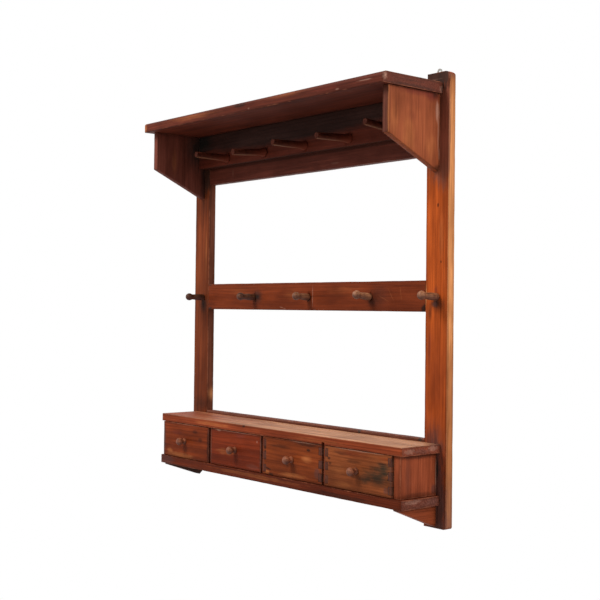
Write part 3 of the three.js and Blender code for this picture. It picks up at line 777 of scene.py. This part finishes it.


# ---- The rack's boards, what has marked each of them, and the light and shade painted on them ----

BARE_BACK = whole("back", "bare_pine", 0.6)
RIGHT_STILE_MARKS = (
    BARE_BACK,
    whole("right", "stile_outer", 0.9),
    front(0.02, 0.51, 2.6, 32, "stile_outer", 0.9, ragged=0.2),
    front(0.8, 0.87, 75, 145, "end_grain", 0.75, soft=0.4),
    front(0.5, 1.0, 80, 46, "grime", 0.85, soft=0.4, ragged=0.7),
    front(0.5, 0.99, 60, 30, "end_grain", 0.25, soft=0.8, ragged=1.4),
    front(0.4, 1.0, 60, 52, "soot", 0.5, ragged=0.8),
    front(0.35, 0.985, 30, 2, "chalk", 0.12, ragged=1.0),
    haze(0.5, 0.94, 50, 70, "grime", 0.4),
    right(0.5, 1.0, 60, 115, "drawer_3", 0.5, soft=0.9),
    right(0.5, 1.0, 30, 22, "end_grain", 0.6),
    haze(0.5, 0.32, 60, 160, "ember", 0.3),
    front(0.5, 0.06, 40, 165, "mauve", 0.95, soft=0.5),
    front(0.4, 0.17, 60, 90, "mauve", 0.8, soft=0.9),
    haze(0.9, 0.04, 26, 90, "mauve", 0.5),
    # Painted shadow in the gap where the right end panel meets the stile
    front(0.61, 0.128, 3, 30, "soot", 0.95, ragged=0.2),
    haze(0.7, 0.02, 16, 50, "grime", 0.5),
    right(0.5, 0.18, 90, 420, "drawer_3", 0.55, soft=0.8),
    right(0.5, 0.03, 60, 120, "mauve", 0.45, soft=0.7),
    right(0.5, 0.0, 60, 60, "end_grain", 0.6, soft=1.0, ragged=0.9),
    front(0.536, 0.707, 3, 6, "grime", 0.85, soft=0.5, ragged=0.1),
    front(0.692, 0.582, 2.5, 4, "grime", 0.75, soft=0.5, ragged=0.1),
    # Dark patches round the ball peg's foot and below the rail's end: painted shadow of the peg, with some
    # dirt
    haze(0.55, 0.49, 34, 26, "grime", 0.75),
    front(0.43, 0.49, 18, 11, "grime", 0.75, soft=0.9, ragged=0.6),
    front(0.43, 0.488, 12, 9, "mauve", 0.5, soft=0.9, ragged=0.6),
    haze(0.47, 0.52, 8, 16, "ember", 0.6, ragged=0.6),
    haze(0.2, 0.47, 12, 26, "grime", 0.6),
    haze(0.2, 0.4, 8, 60, "ember", 0.5),
    haze(0.7, 0.64, 9, 75, "honey", 0.3),
)
LEFT_STILE_MARKS = (
    BARE_BACK,
    whole("right", "stile_inner", 0.9),
    # Painted shadow of the top shelf and the bracket on the stile's front
    front(0.5, 0.875, 90, 100, "soot", 0.75, soft=0.4),
    # Dark halo round the ball peg's foot: painted shadow of the peg, with some dirt
    haze(0.62, 0.475, 26, 34, "grime", 0.9),
    haze(0.8, 0.62, 6, 90, "honey", 0.4),
    haze(0.3, 0.3, 7, 120, "ember", 0.6),
    haze(0.6, 0.19, 60, 30, "grime", 0.5),
    right(0.8, 0.22, 22, 26, "stile_outer", 0.6, soft=1.0),
)
TOP_RAIL_MARKS = (
    BARE_BACK,
    # Painted shadow under the peg board's lower edge
    haze(0.5, 0.262, ENDLESS, 5, "grime", 0.65, ragged=0.1),
    front(0.164, 0.15, 0.9, 16, "chalk", 0.4, ragged=0.1),
    front(0.62, 0.08, 18, 3, "chalk", 0.1, ragged=0.8),
)
MIDDLE_RAIL_MARKS = (
    BARE_BACK,
    front(0.534, 0.5, 1.0, 34, "chalk", 0.45, ragged=0.1),
    front(0.835, 0.55, 22, 0.8, "honey", 0.35, ragged=0.3, turn=-58),
    front(0.81, 0.42, 26, 0.8, "honey", 0.4, ragged=0.3, turn=-22),
    front(0.87, 0.6, 20, 0.8, "honey", 0.3, ragged=0.3, turn=-80),
    # Dark patches round the ball pegs' feet and at the rail's right end under the stile's peg: painted
    # shadow of the pegs, with some dirt
    front(0.955, 0.08, 16, 18, "grime", 0.9),
    haze(0.29, 0.5, 30, 22, "soot", 0.9),
    haze(0.518, 0.46, 20, 15, "grime", 0.75),
    haze(0.8, 0.5, 44, 44, "mauve", 0.2),
    haze(0.78, 0.5, 44, 40, "grime", 0.4),
    front(0.765, 0.38, 26, 22, "grime", 0.5, soft=0.9),
    front(0.4, 0.1, 9, 1.6, "chalk", 0.3, ragged=0.6, turn=-12),
    front(0.414, 0.06, 6, 1.4, "chalk", 0.3, ragged=0.6),
    front(0.055, 0.02, 12, 9, "soot", 0.75, soft=0.9),
    front(0.055, 0.98, 9, 7, "soot", 0.6, soft=0.9),
    haze(0.2, 0.7, 60, 14, "honey", 0.12, ragged=0.8),
    haze(0.45, 0.55, 50, 18, "honey", 0.18, ragged=0.8),
    haze(0.66, 0.7, 80, 16, "honey", 0.12, ragged=0.8),
)
BOTTOM_RAIL_MARKS = (
    BARE_BACK,
    # Near-black where the third divider's open housing shows the rail, top and front: painted shade in that
    # recess
    top(0.724, 0.1, 6, 9, "soot", 0.9, soft=0.4, ragged=0.2),
    front(0.724, 1.0, 6, 9, "soot", 0.9, soft=0.4, ragged=0.2),
    front(0.94, 1.0, 9, 9, "soot", 0.8, soft=0.5, ragged=0.2),
    top(0.5, 0.0, ENDLESS, 1.6, "chalk", 0.2, ragged=0.2),
)
TOP_SHELF_MARKS = (
    whole("top", "mauve", 0.4),
    front(0.462, 0.72, 36, 7, "grime", 0.7),
    front(0.503, 0.2, 5, 3, "chalk", 0.4, soft=0.7),
    front(0.845, 0.22, 8, 2.5, "chalk", 0.4, ragged=0.6),
    front(0.94, 0.5, 26, 2, "chalk", 0.4, ragged=0.8),
    haze(0.25, 0.6, 160, 12, "honey", 0.22, ragged=0.7),
    haze(0.66, 0.8, 110, 9, "honey", 0.2, ragged=0.7),
    front(0.8, 0.5, 60, 6, "ember", 0.5, ragged=0.7),
    right(0.03, 0.6, 9, 12, "chalk", 0.6, soft=0.9),
    right(0.45, 0.6, 60, 3, "grime", 0.5, ragged=0.8),
    front(0.0, 0.5, 16, 20, "honey", 0.8, soft=0.9),
    # Darker band low on the end: painted shade under its nosing
    right(0.5, 0.12, 90, 7, "grime", 0.6, ragged=0.5),
    right(0.75, 0.95, 60, 4, "grime", 0.5, ragged=0.5),
    right(1.0, 0.3, 12, 12, "chalk", 0.4, ragged=0.5),
    # Painted shade on the underside towards the back
    Mark("under", 0.5, 0.95, 600, 40, "soot", 0.5, soft=1.0),
)
PEG_BOARD_MARKS = (
    # Painted shade: the underside darkened, and the top shelf's shadow as a near-black band over the upper
    # part, darkest at the corners by the brackets, with some soot
    whole("under", "grime", 0.8),
    front(0.42, 0.92, 640, 58, "soot", 0.75, soft=0.35, ragged=0.15),
    front(0.0, 0.8, 90, 70, "soot", 0.8, soft=0.8),
    front(1.0, 1.0, 70, 36, "soot", 0.6, soft=0.8),
)
BRACKET_LEFT_MARKS = (
    # Painted shadow of the top shelf on the bracket's inner face, deepest at the back
    right(0.88, 0.8, 75, 85, "soot", 0.92, soft=1.0),
    right(1.0, 0.4, 24, 110, "soot", 0.7, soft=0.8),
    right(0.35, 0.55, 12, 50, "honey", 0.25, soft=1.0),
)
BRACKET_RIGHT_MARKS = (
    whole("front", "bracket_edge", 0.85),
    whole("under", "bracket_edge", 0.6),
    # The inner face is given the darker bracket tone as painted shade under the top shelf
    whole("left", "bracket_left", 0.7),
    right(0.6, 0.85, 70, 26, "ember", 0.2, soft=1.0),
    right(0.39, 0.4, 26, 60, "honey", 0.4, soft=1.0, ragged=0.8),
    right(0.1, 0.6, 20, 60, "honey", 0.3, soft=1.0, ragged=0.8),
    right(0.8, 0.3, 22, 40, "honey", 0.3, soft=1.0, ragged=0.8),
    right(0.45, 0.66, 20, 16, "ember", 0.3, soft=1.0, ragged=0.8),
    right(0.945, 0.77, 8, 34, "chalk", 0.5, soft=0.7, ragged=0.5, turn=4),
    # Pale line along the front arris: rubbed shellac, and a painted highlight of the arris too
    right(0.01, 0.6, 2.2, 100, "honey", 0.95, ragged=0.2),
    right(0.965, 0.45, 2.5, 50, "chalk", 0.35, ragged=0.7),
    right(0.985, 0.22, 3, 16, "chalk", 0.3, ragged=0.7),
    # Painted shadow of the top shelf along the bracket's top, deeper towards the back
    right(0.55, 0.99, 90, 16, "ember", 0.8, soft=0.8),
    right(0.85, 0.96, 40, 20, "ember", 0.9, soft=0.8),
    right(0.9, 0.97, 16, 12, "grime", 0.7, soft=0.9),
    right(1.0, 0.02, 26, 16, "grime", 0.7),
)
LOWER_SHELF_MARKS = (
    # The top is drawn pale: dust and rubbed wood, and painted light for the light falling on the top
    whole("top", "shelf_dust", 0.95),
    top(0.0, 0.4, 500, 150, "end_panel", 1.0, soft=1.0, ragged=0.5),
    top(0.3, 0.7, 150, 9, "end_panel", 0.5, ragged=0.9),
    top(0.45, 0.35, 180, 6, "end_panel", 0.4, ragged=0.9),
    top(0.75, 0.2, 140, 6, "end_panel", 0.4, ragged=0.9),
    top(0.62, 0.75, 120, 5, "end_panel", 0.4, ragged=0.9),
    top(1.0, 0.9, 40, 30, "mauve", 0.8, soft=0.9),
    front(0.402, 0.87, 7, 4, "grime", 0.9, soft=0.5, ragged=0.2),
    front(0.25, 0.5, 90, 6, "honey", 0.35, ragged=0.8),
    front(0.7, 0.4, 110, 6, "honey", 0.25, ragged=0.8),
    right(0.2, 0.5, 20, 8, "chalk", 0.5, ragged=1.0),
    right(0.8, 0.6, 18, 8, "chalk", 0.55, ragged=1.0),
    right(0.5, 0.4, 30, 7, "mauve", 0.5, ragged=1.0),
)
BOTTOM_BOARD_MARKS = (
    front(0.02, 0.5, 60, 20, "mauve", 0.6),
    front(0.45, 0.6, 200, 6, "honey", 0.25, ragged=0.8),
    front(0.8, 0.3, 120, 6, "grime", 0.5, ragged=0.8),
    right(0.3, 0.7, 30, 6, "chalk", 0.4, ragged=1.0),
    right(0.8, 0.5, 26, 9, "mauve", 0.7, ragged=0.8),
)
END_PANEL_RIGHT_MARKS = (
    right(0.985, 0.5, 3, 46, "chalk", 0.5, ragged=0.4),
    right(0.93, 0.15, 12, 14, "mauve", 0.6),
    right(0.5, 0.05, 70, 8, "grime", 0.35),
    right(0.5, 0.97, 70, 9, "grime", 0.5),
    right(0.2, 0.5, 12, 60, "mauve", 0.3, soft=1.0),
)
# The marks on the fronts of the four drawers, from the left
DRAWER_MARKS = ((
    front(0.0, 0.5, 12, 70, "mauve", 0.7),
    # A pale line along the top arris: wear, drawn to stand for its highlight too
    front(0.5, 1.0, 110, 3, "chalk", 0.3, ragged=0.5),
    front(1.0, 0.5, 11, 70, "grime", 0.7),
    front(0.376, 0.07, 80, 9, "honey", 0.6, ragged=0.5),
    front(0.704, 0.814, 15, 7, "grime", 0.5),
    front(0.815, 0.608, 12, 7, "grime", 0.5),
    front(0.144, 0.16, 18, 9, "honey", 0.5),
    front(0.3, 0.72, 30, 8, "ember", 0.5, ragged=0.7),
), (
    # Pale lines along the top and side arrises: wear, drawn to stand for their highlights too
    front(0.5, 1.0, 110, 3, "chalk", 0.45, ragged=0.5),
    front(0.0, 0.5, 2.4, 60, "chalk", 0.4, ragged=0.4),
    front(1.0, 0.5, 2.4, 60, "chalk", 0.4, ragged=0.4),
    front(0.166, 1.0, 12, 6, "chalk", 0.7),
    front(0.931, 0.815, 3, 4.5, "chalk", 0.4, soft=0.8),
    front(0.85, 0.12, 34, 9, "end_grain", 0.3),
    front(0.6, 0.9, 26, 6, "ember", 0.6, ragged=0.6),
    front(0.3, 0.4, 50, 10, "honey", 0.25, ragged=0.7),
), (
    front(0.036, 0.71, 6, 6, "grime", 0.85, soft=0.7),
    front(0.04, 0.615, 5, 4, "grime", 0.8, soft=0.7),
    front(0.037, 0.434, 6, 7, "grime", 0.85, soft=0.7),
    front(0.085, 0.17, 16, 2.6, "grime", 0.85, ragged=0.2, turn=-12),
    front(0.07, 0.08, 13, 5, "honey", 0.6),
    front(0.145, 0.02, 12, 5, "grime", 0.75),
    front(0.782, 0.812, 9, 3.5, "grime", 0.85, soft=0.5, ragged=0.2),
    front(0.75, 0.95, 50, 6, "grime", 0.6, ragged=0.6),
    haze(0.75, 0.58, 26, 13, "honey", 0.5),
    front(0.928, 0.257, 14, 17, "mauve", 0.6),
    haze(0.43, 0.34, 12, 10, "grime", 0.5),
    # A pale line along the top arris: wear, drawn to stand for its highlight too
    front(0.7, 1.0, 75, 3, "chalk", 0.6, ragged=0.6),
    front(0.3, 0.8, 45, 6, "grime", 0.45, ragged=0.7),
    front(0.5, 0.1, 60, 7, "honey", 0.5, ragged=0.7),
), (
    front(0.066, 0.707, 8, 5, "grime", 0.8, soft=0.8),
    front(0.085, 0.588, 8, 4, "grime", 0.7, soft=0.8),
    front(0.016, 0.147, 8, 12, "moss", 0.7),
    haze(0.88, 0.66, 48, 20, "moss", 0.95, ragged=0.6),
    haze(0.78, 0.42, 80, 26, "moss", 0.9, ragged=0.6),
    haze(0.9, 0.9, 34, 5, "drawer_1", 0.8, ragged=0.6),
    front(0.62, 0.3, 26, 9, "moss", 0.6, soft=0.9, ragged=0.7),
    front(0.864, 0.764, 18, 1.4, "grime", 0.8, ragged=0.2),
    front(0.439, 0.719, 32, 5, "grime", 0.4, ragged=0.6),
    front(0.3, 0.88, 44, 5, "grime", 0.55, ragged=0.7),
    haze(0.291, 0.1, 40, 12, "honey", 0.55, ragged=0.5),
    haze(0.2, 0.45, 40, 16, "honey", 0.3, ragged=0.6),
    haze(0.45, 0.9, 70, 12, "drawer_2", 0.6, ragged=0.6),
    front(0.985, 0.5, 3, 50, "end_grain", 0.6),
    front(0.959, 0.522, 4, 4, "chalk", 0.8, soft=0.7),
    front(0.955, 0.42, 5, 3, "grime", 0.7),
    front(0.924, 0.159, 11, 9, "mauve", 0.6),
    haze(0.44, 0.37, 12, 10, "grime", 0.5),
    # A pale line along the top arris: wear, drawn to stand for its highlight too
    front(0.5, 1.0, 120, 3, "chalk", 0.5, ragged=0.7),
))


# The axes that a worn corner turns in, as seen from three sides
FROM_FRONT, FROM_SIDE, FROM_ABOVE = (0, 2), (1, 2), (0, 1)


class PLATERACK_OT_back_frame(Operator):
    """Dresses the two stiles and the three rails of the back frame"""

    bl_idname = "plate_rack.back_frame"
    bl_label = "Back Frame"

    def execute(self, context):
        add_board("left_stile", "left_stile", "z", 1.0, LEFT_STILE_MARKS, corners=[(FROM_FRONT, (0, 1), 8)])
        add_board("right_stile", "right_stile", "z", 2.0, RIGHT_STILE_MARKS, contrast=0.7,
                  corners=[(FROM_FRONT, (1, 1), 12), (FROM_FRONT, (1, 0), 7), (FROM_SIDE, (1, 1), 8)])
        add_board("top_rail", "top_rail", "x", 3.0, TOP_RAIL_MARKS, contrast=0.6, wear=0.5)
        add_board("middle_rail", "middle_rail", "x", 4.0, MIDDLE_RAIL_MARKS, contrast=0.6)
        add_board("bottom_rail", "bottom_rail", "x", 5.0, BOTTOM_RAIL_MARKS)
        return {"FINISHED"}


class PLATERACK_OT_top_shelf(Operator):
    """Dresses the top shelf, its brackets and the peg board"""

    bl_idname = "plate_rack.top_shelf"
    bl_label = "Top Shelf"

    def execute(self, context):
        add_board("top_shelf", "top_shelf", "x_flat", 6.0, TOP_SHELF_MARKS, slot="shelf_pine", ends=0.3,
                  corners=[(FROM_ABOVE, (0, 0), 2), (FROM_ABOVE, (1, 0), 3)])
        add_board("upper_bracket_left", "bracket_left", "z_side", 7.0, BRACKET_LEFT_MARKS, contrast=0.6)
        add_board("upper_bracket_right", "bracket_right", "z_side", 8.0, BRACKET_RIGHT_MARKS, contrast=0.5)
        add_board("peg_board", "peg_board", "x", 9.0, PEG_BOARD_MARKS, contrast=0.6, wear=0.1)
        return {"FINISHED"}


class PLATERACK_OT_pegs(Operator):
    """Rounds and stains the long pegs and the ball pegs, and paints light and shade on their undersides"""

    bl_idname = "plate_rack.pegs"
    bl_label = "Pegs"

    def execute(self, context):
        for i in range(5):
            node = f"long_peg_{i + 1}"
            # The long pegs' tips are darkened as painted shade of the top shelf, and a paler underside
            # stands for a painted highlight along the lower edge
            wood = turned_wood(node, "long_peg", i, 0.68, tip=("grime", 0.3),
                               under=("ball_peg", 0.7, 0.65, 0.98), foot=("peg_board", 1.0, 85), gloss=0.03)
            turned_piece(node, wood, "rack")
        brightness = {"left_stile_peg": 0.24, "rail_peg_1": 0.4, "rail_peg_2": 0.95, "rail_peg_3": 1.5,
                      "right_stile_peg": 1.15}
        for i, (node, bright) in enumerate(brightness.items()):
            # The ball pegs keep the default painted shade on their undersides
            turned_piece(node, turned_wood(node, "ball_peg", 10 + i, bright), "rack")
        return {"FINISHED"}


class PLATERACK_OT_case(Operator):
    """Dresses the drawer case: lower shelf, bottom board, end panels, dividers and lower brackets"""

    bl_idname = "plate_rack.case"
    bl_label = "Drawer Case"

    def execute(self, context):
        dividers = [f"divider_{i + 1}" for i in range(3)]
        add_board("lower_shelf", "lower_shelf", "x_flat", 10.0, LOWER_SHELF_MARKS, slot="shelf_pine",
                  closed=dividers[:2], corners=[(FROM_ABOVE, (0, 0), 6), (FROM_ABOVE, (1, 0), 3)])
        add_board("bottom_board", "bottom_board", "x_flat", 11.0, BOTTOM_BOARD_MARKS, slot="shelf_pine",
                  closed=dividers, corners=[(FROM_ABOVE, (0, 0), 6), (FROM_ABOVE, (1, 0), 4)])
        add_board("end_panel_left", "end_panel", "z_side", 12.0)
        add_board("end_panel_right", "end_panel", "z_side", 13.0, END_PANEL_RIGHT_MARKS, contrast=0.6)
        # The left lower bracket's inner side is near-black: painted shade under the case
        dark = [right(0.5, 0.5, 200, 200, "soot", 0.8, depth=60, ragged=0)]
        add_board("lower_bracket_left", "lower_bracket", "y", 14.0, dark)
        add_board("lower_bracket_right", "lower_bracket", "y", 15.0)
        for i, divider in enumerate(dividers):
            add_board(divider, "end_panel", "z_side", 16.0 + i)
        return {"FINISHED"}


class PLATERACK_OT_drawers(Operator):
    """Dresses the four drawers: stained fronts, bare insides and worn knobs"""

    bl_idname = "plate_rack.drawers"
    bl_label = "Drawers"

    def execute(self, context):
        knob_brightness = (0.95, 0.82, 1.05, 0.95)
        for i, (front_marks, bright) in enumerate(zip(DRAWER_MARKS, knob_brightness), 1):
            body = f"drawer_{i}"
            add_board(f"{body}_front", body, "x", 20.0 + i, front_marks, body, "drawer_pine",
                      step=9 * MM, contrast=0.85, wear=0.6, rim=0.35)
            side_marks = [whole("front", body, depth=4), whole("front", "grime", 0.5, depth=4)]
            side_marks += [Mark(face, 0.0, 0.5, 16, 90, "mauve", 0.85) for face in ("left", "right")]
            inside = (("left_side", "y", side_marks), ("right_side", "y", side_marks),
                      ("back", "x", ()), ("bottom", "x_flat", ()))
            for j, (part, grain, marks) in enumerate(inside):
                add_board(f"{body}_{part}", "bare_pine", grain, 30.0 + 4 * i + j, marks, body,
                          "drawer_inside_pine", step=30 * MM, contrast=0.9, wear=0.3, ends=0.15)
            knob = f"{body}_knob"
            # The knobs keep the default painted shade on their undersides
            turned_piece(knob, turned_wood(knob, "knob", 40 + i, bright), body)
        return {"FINISHED"}


class PLATERACK_OT_hanging_plates(Operator):
    """Dresses the hanging plates and their screws in dull, rusty iron"""

    bl_idname = "plate_rack.hanging_plates"
    bl_label = "Hanging Plates"

    def execute(self, context):
        iron = self.iron()
        for side in ("left", "right"):
            for node in (f"hanging_plate_{side}", f"plate_screw_{side}_1", f"plate_screw_{side}_2"):
                mesh = mesh_of(node)
                bevel_sharp(mesh, 0.3 * MM)
                add_piece(f"{node}_iron", mesh, iron, "rack", node)
        return {"FINISHED"}

    @staticmethod
    def iron():
        material, nodes = new_material("old_iron")
        patch = nodes.cloud(nodes.where(), 160, 3.0, detail=4.0, roughness=0.65)
        rusty = nodes.fade(patch, 0.48, 0.66)
        colour = nodes.mix(rusty, colour_of("iron"), colour_of("rust"))
        roughness = nodes.math("MULTIPLY_ADD", rusty, 0.35, 0.4)
        metal = nodes.math("SUBTRACT", 0.9, nodes.math("MULTIPLY", rusty, 0.7))
        finish_material(nodes, colour, roughness, patch, 0.1 * MM, specular=0.5, metallic=metal)
        return material


class PLATERACK_PT_panel(Panel):
    """Builds and dresses the plate rack"""

    bl_label = "Plate Rack"
    bl_idname = "PLATERACK_PT_panel"
    bl_space_type = "VIEW_3D"
    bl_region_type = "UI"
    bl_category = "Plate Rack"

    def draw(self, context):
        rack = context.scene.plate_rack
        for step in STEPS:
            self.layout.operator(step.bl_idname)
        for group in (rack.tones, rack.wood, rack.view, rack.stage):
            box = self.layout.box()
            for name in group.bl_rna.properties.keys():
                if name not in ("rna_type", "name"):
                    box.prop(group, name)


STEPS = (
    PLATERACK_OT_camera,
    PLATERACK_OT_stage,
    PLATERACK_OT_back_frame,
    PLATERACK_OT_top_shelf,
    PLATERACK_OT_pegs,
    PLATERACK_OT_case,
    PLATERACK_OT_drawers,
    PLATERACK_OT_hanging_plates,
)
CLASSES = (RackTones, WoodSettings, PhotoView, StageSettings, PlateRackSettings, *STEPS, PLATERACK_PT_panel)


def register():
    for each in CLASSES:
        bpy.utils.register_class(each)
    bpy.types.Scene.plate_rack = PointerProperty(type=PlateRackSettings)


def unregister():
    del bpy.types.Scene.plate_rack
    for each in reversed(CLASSES):
        bpy.utils.unregister_class(each)


def main():
    register()
    bpy.ops.plate_rack.camera()
    bpy.ops.plate_rack.stage()
    bpy.ops.plate_rack.back_frame()
    bpy.ops.plate_rack.top_shelf()
    bpy.ops.plate_rack.pegs()
    bpy.ops.plate_rack.case()
    bpy.ops.plate_rack.drawers()
    bpy.ops.plate_rack.hanging_plates()


if __name__ == "__main__":
    main()
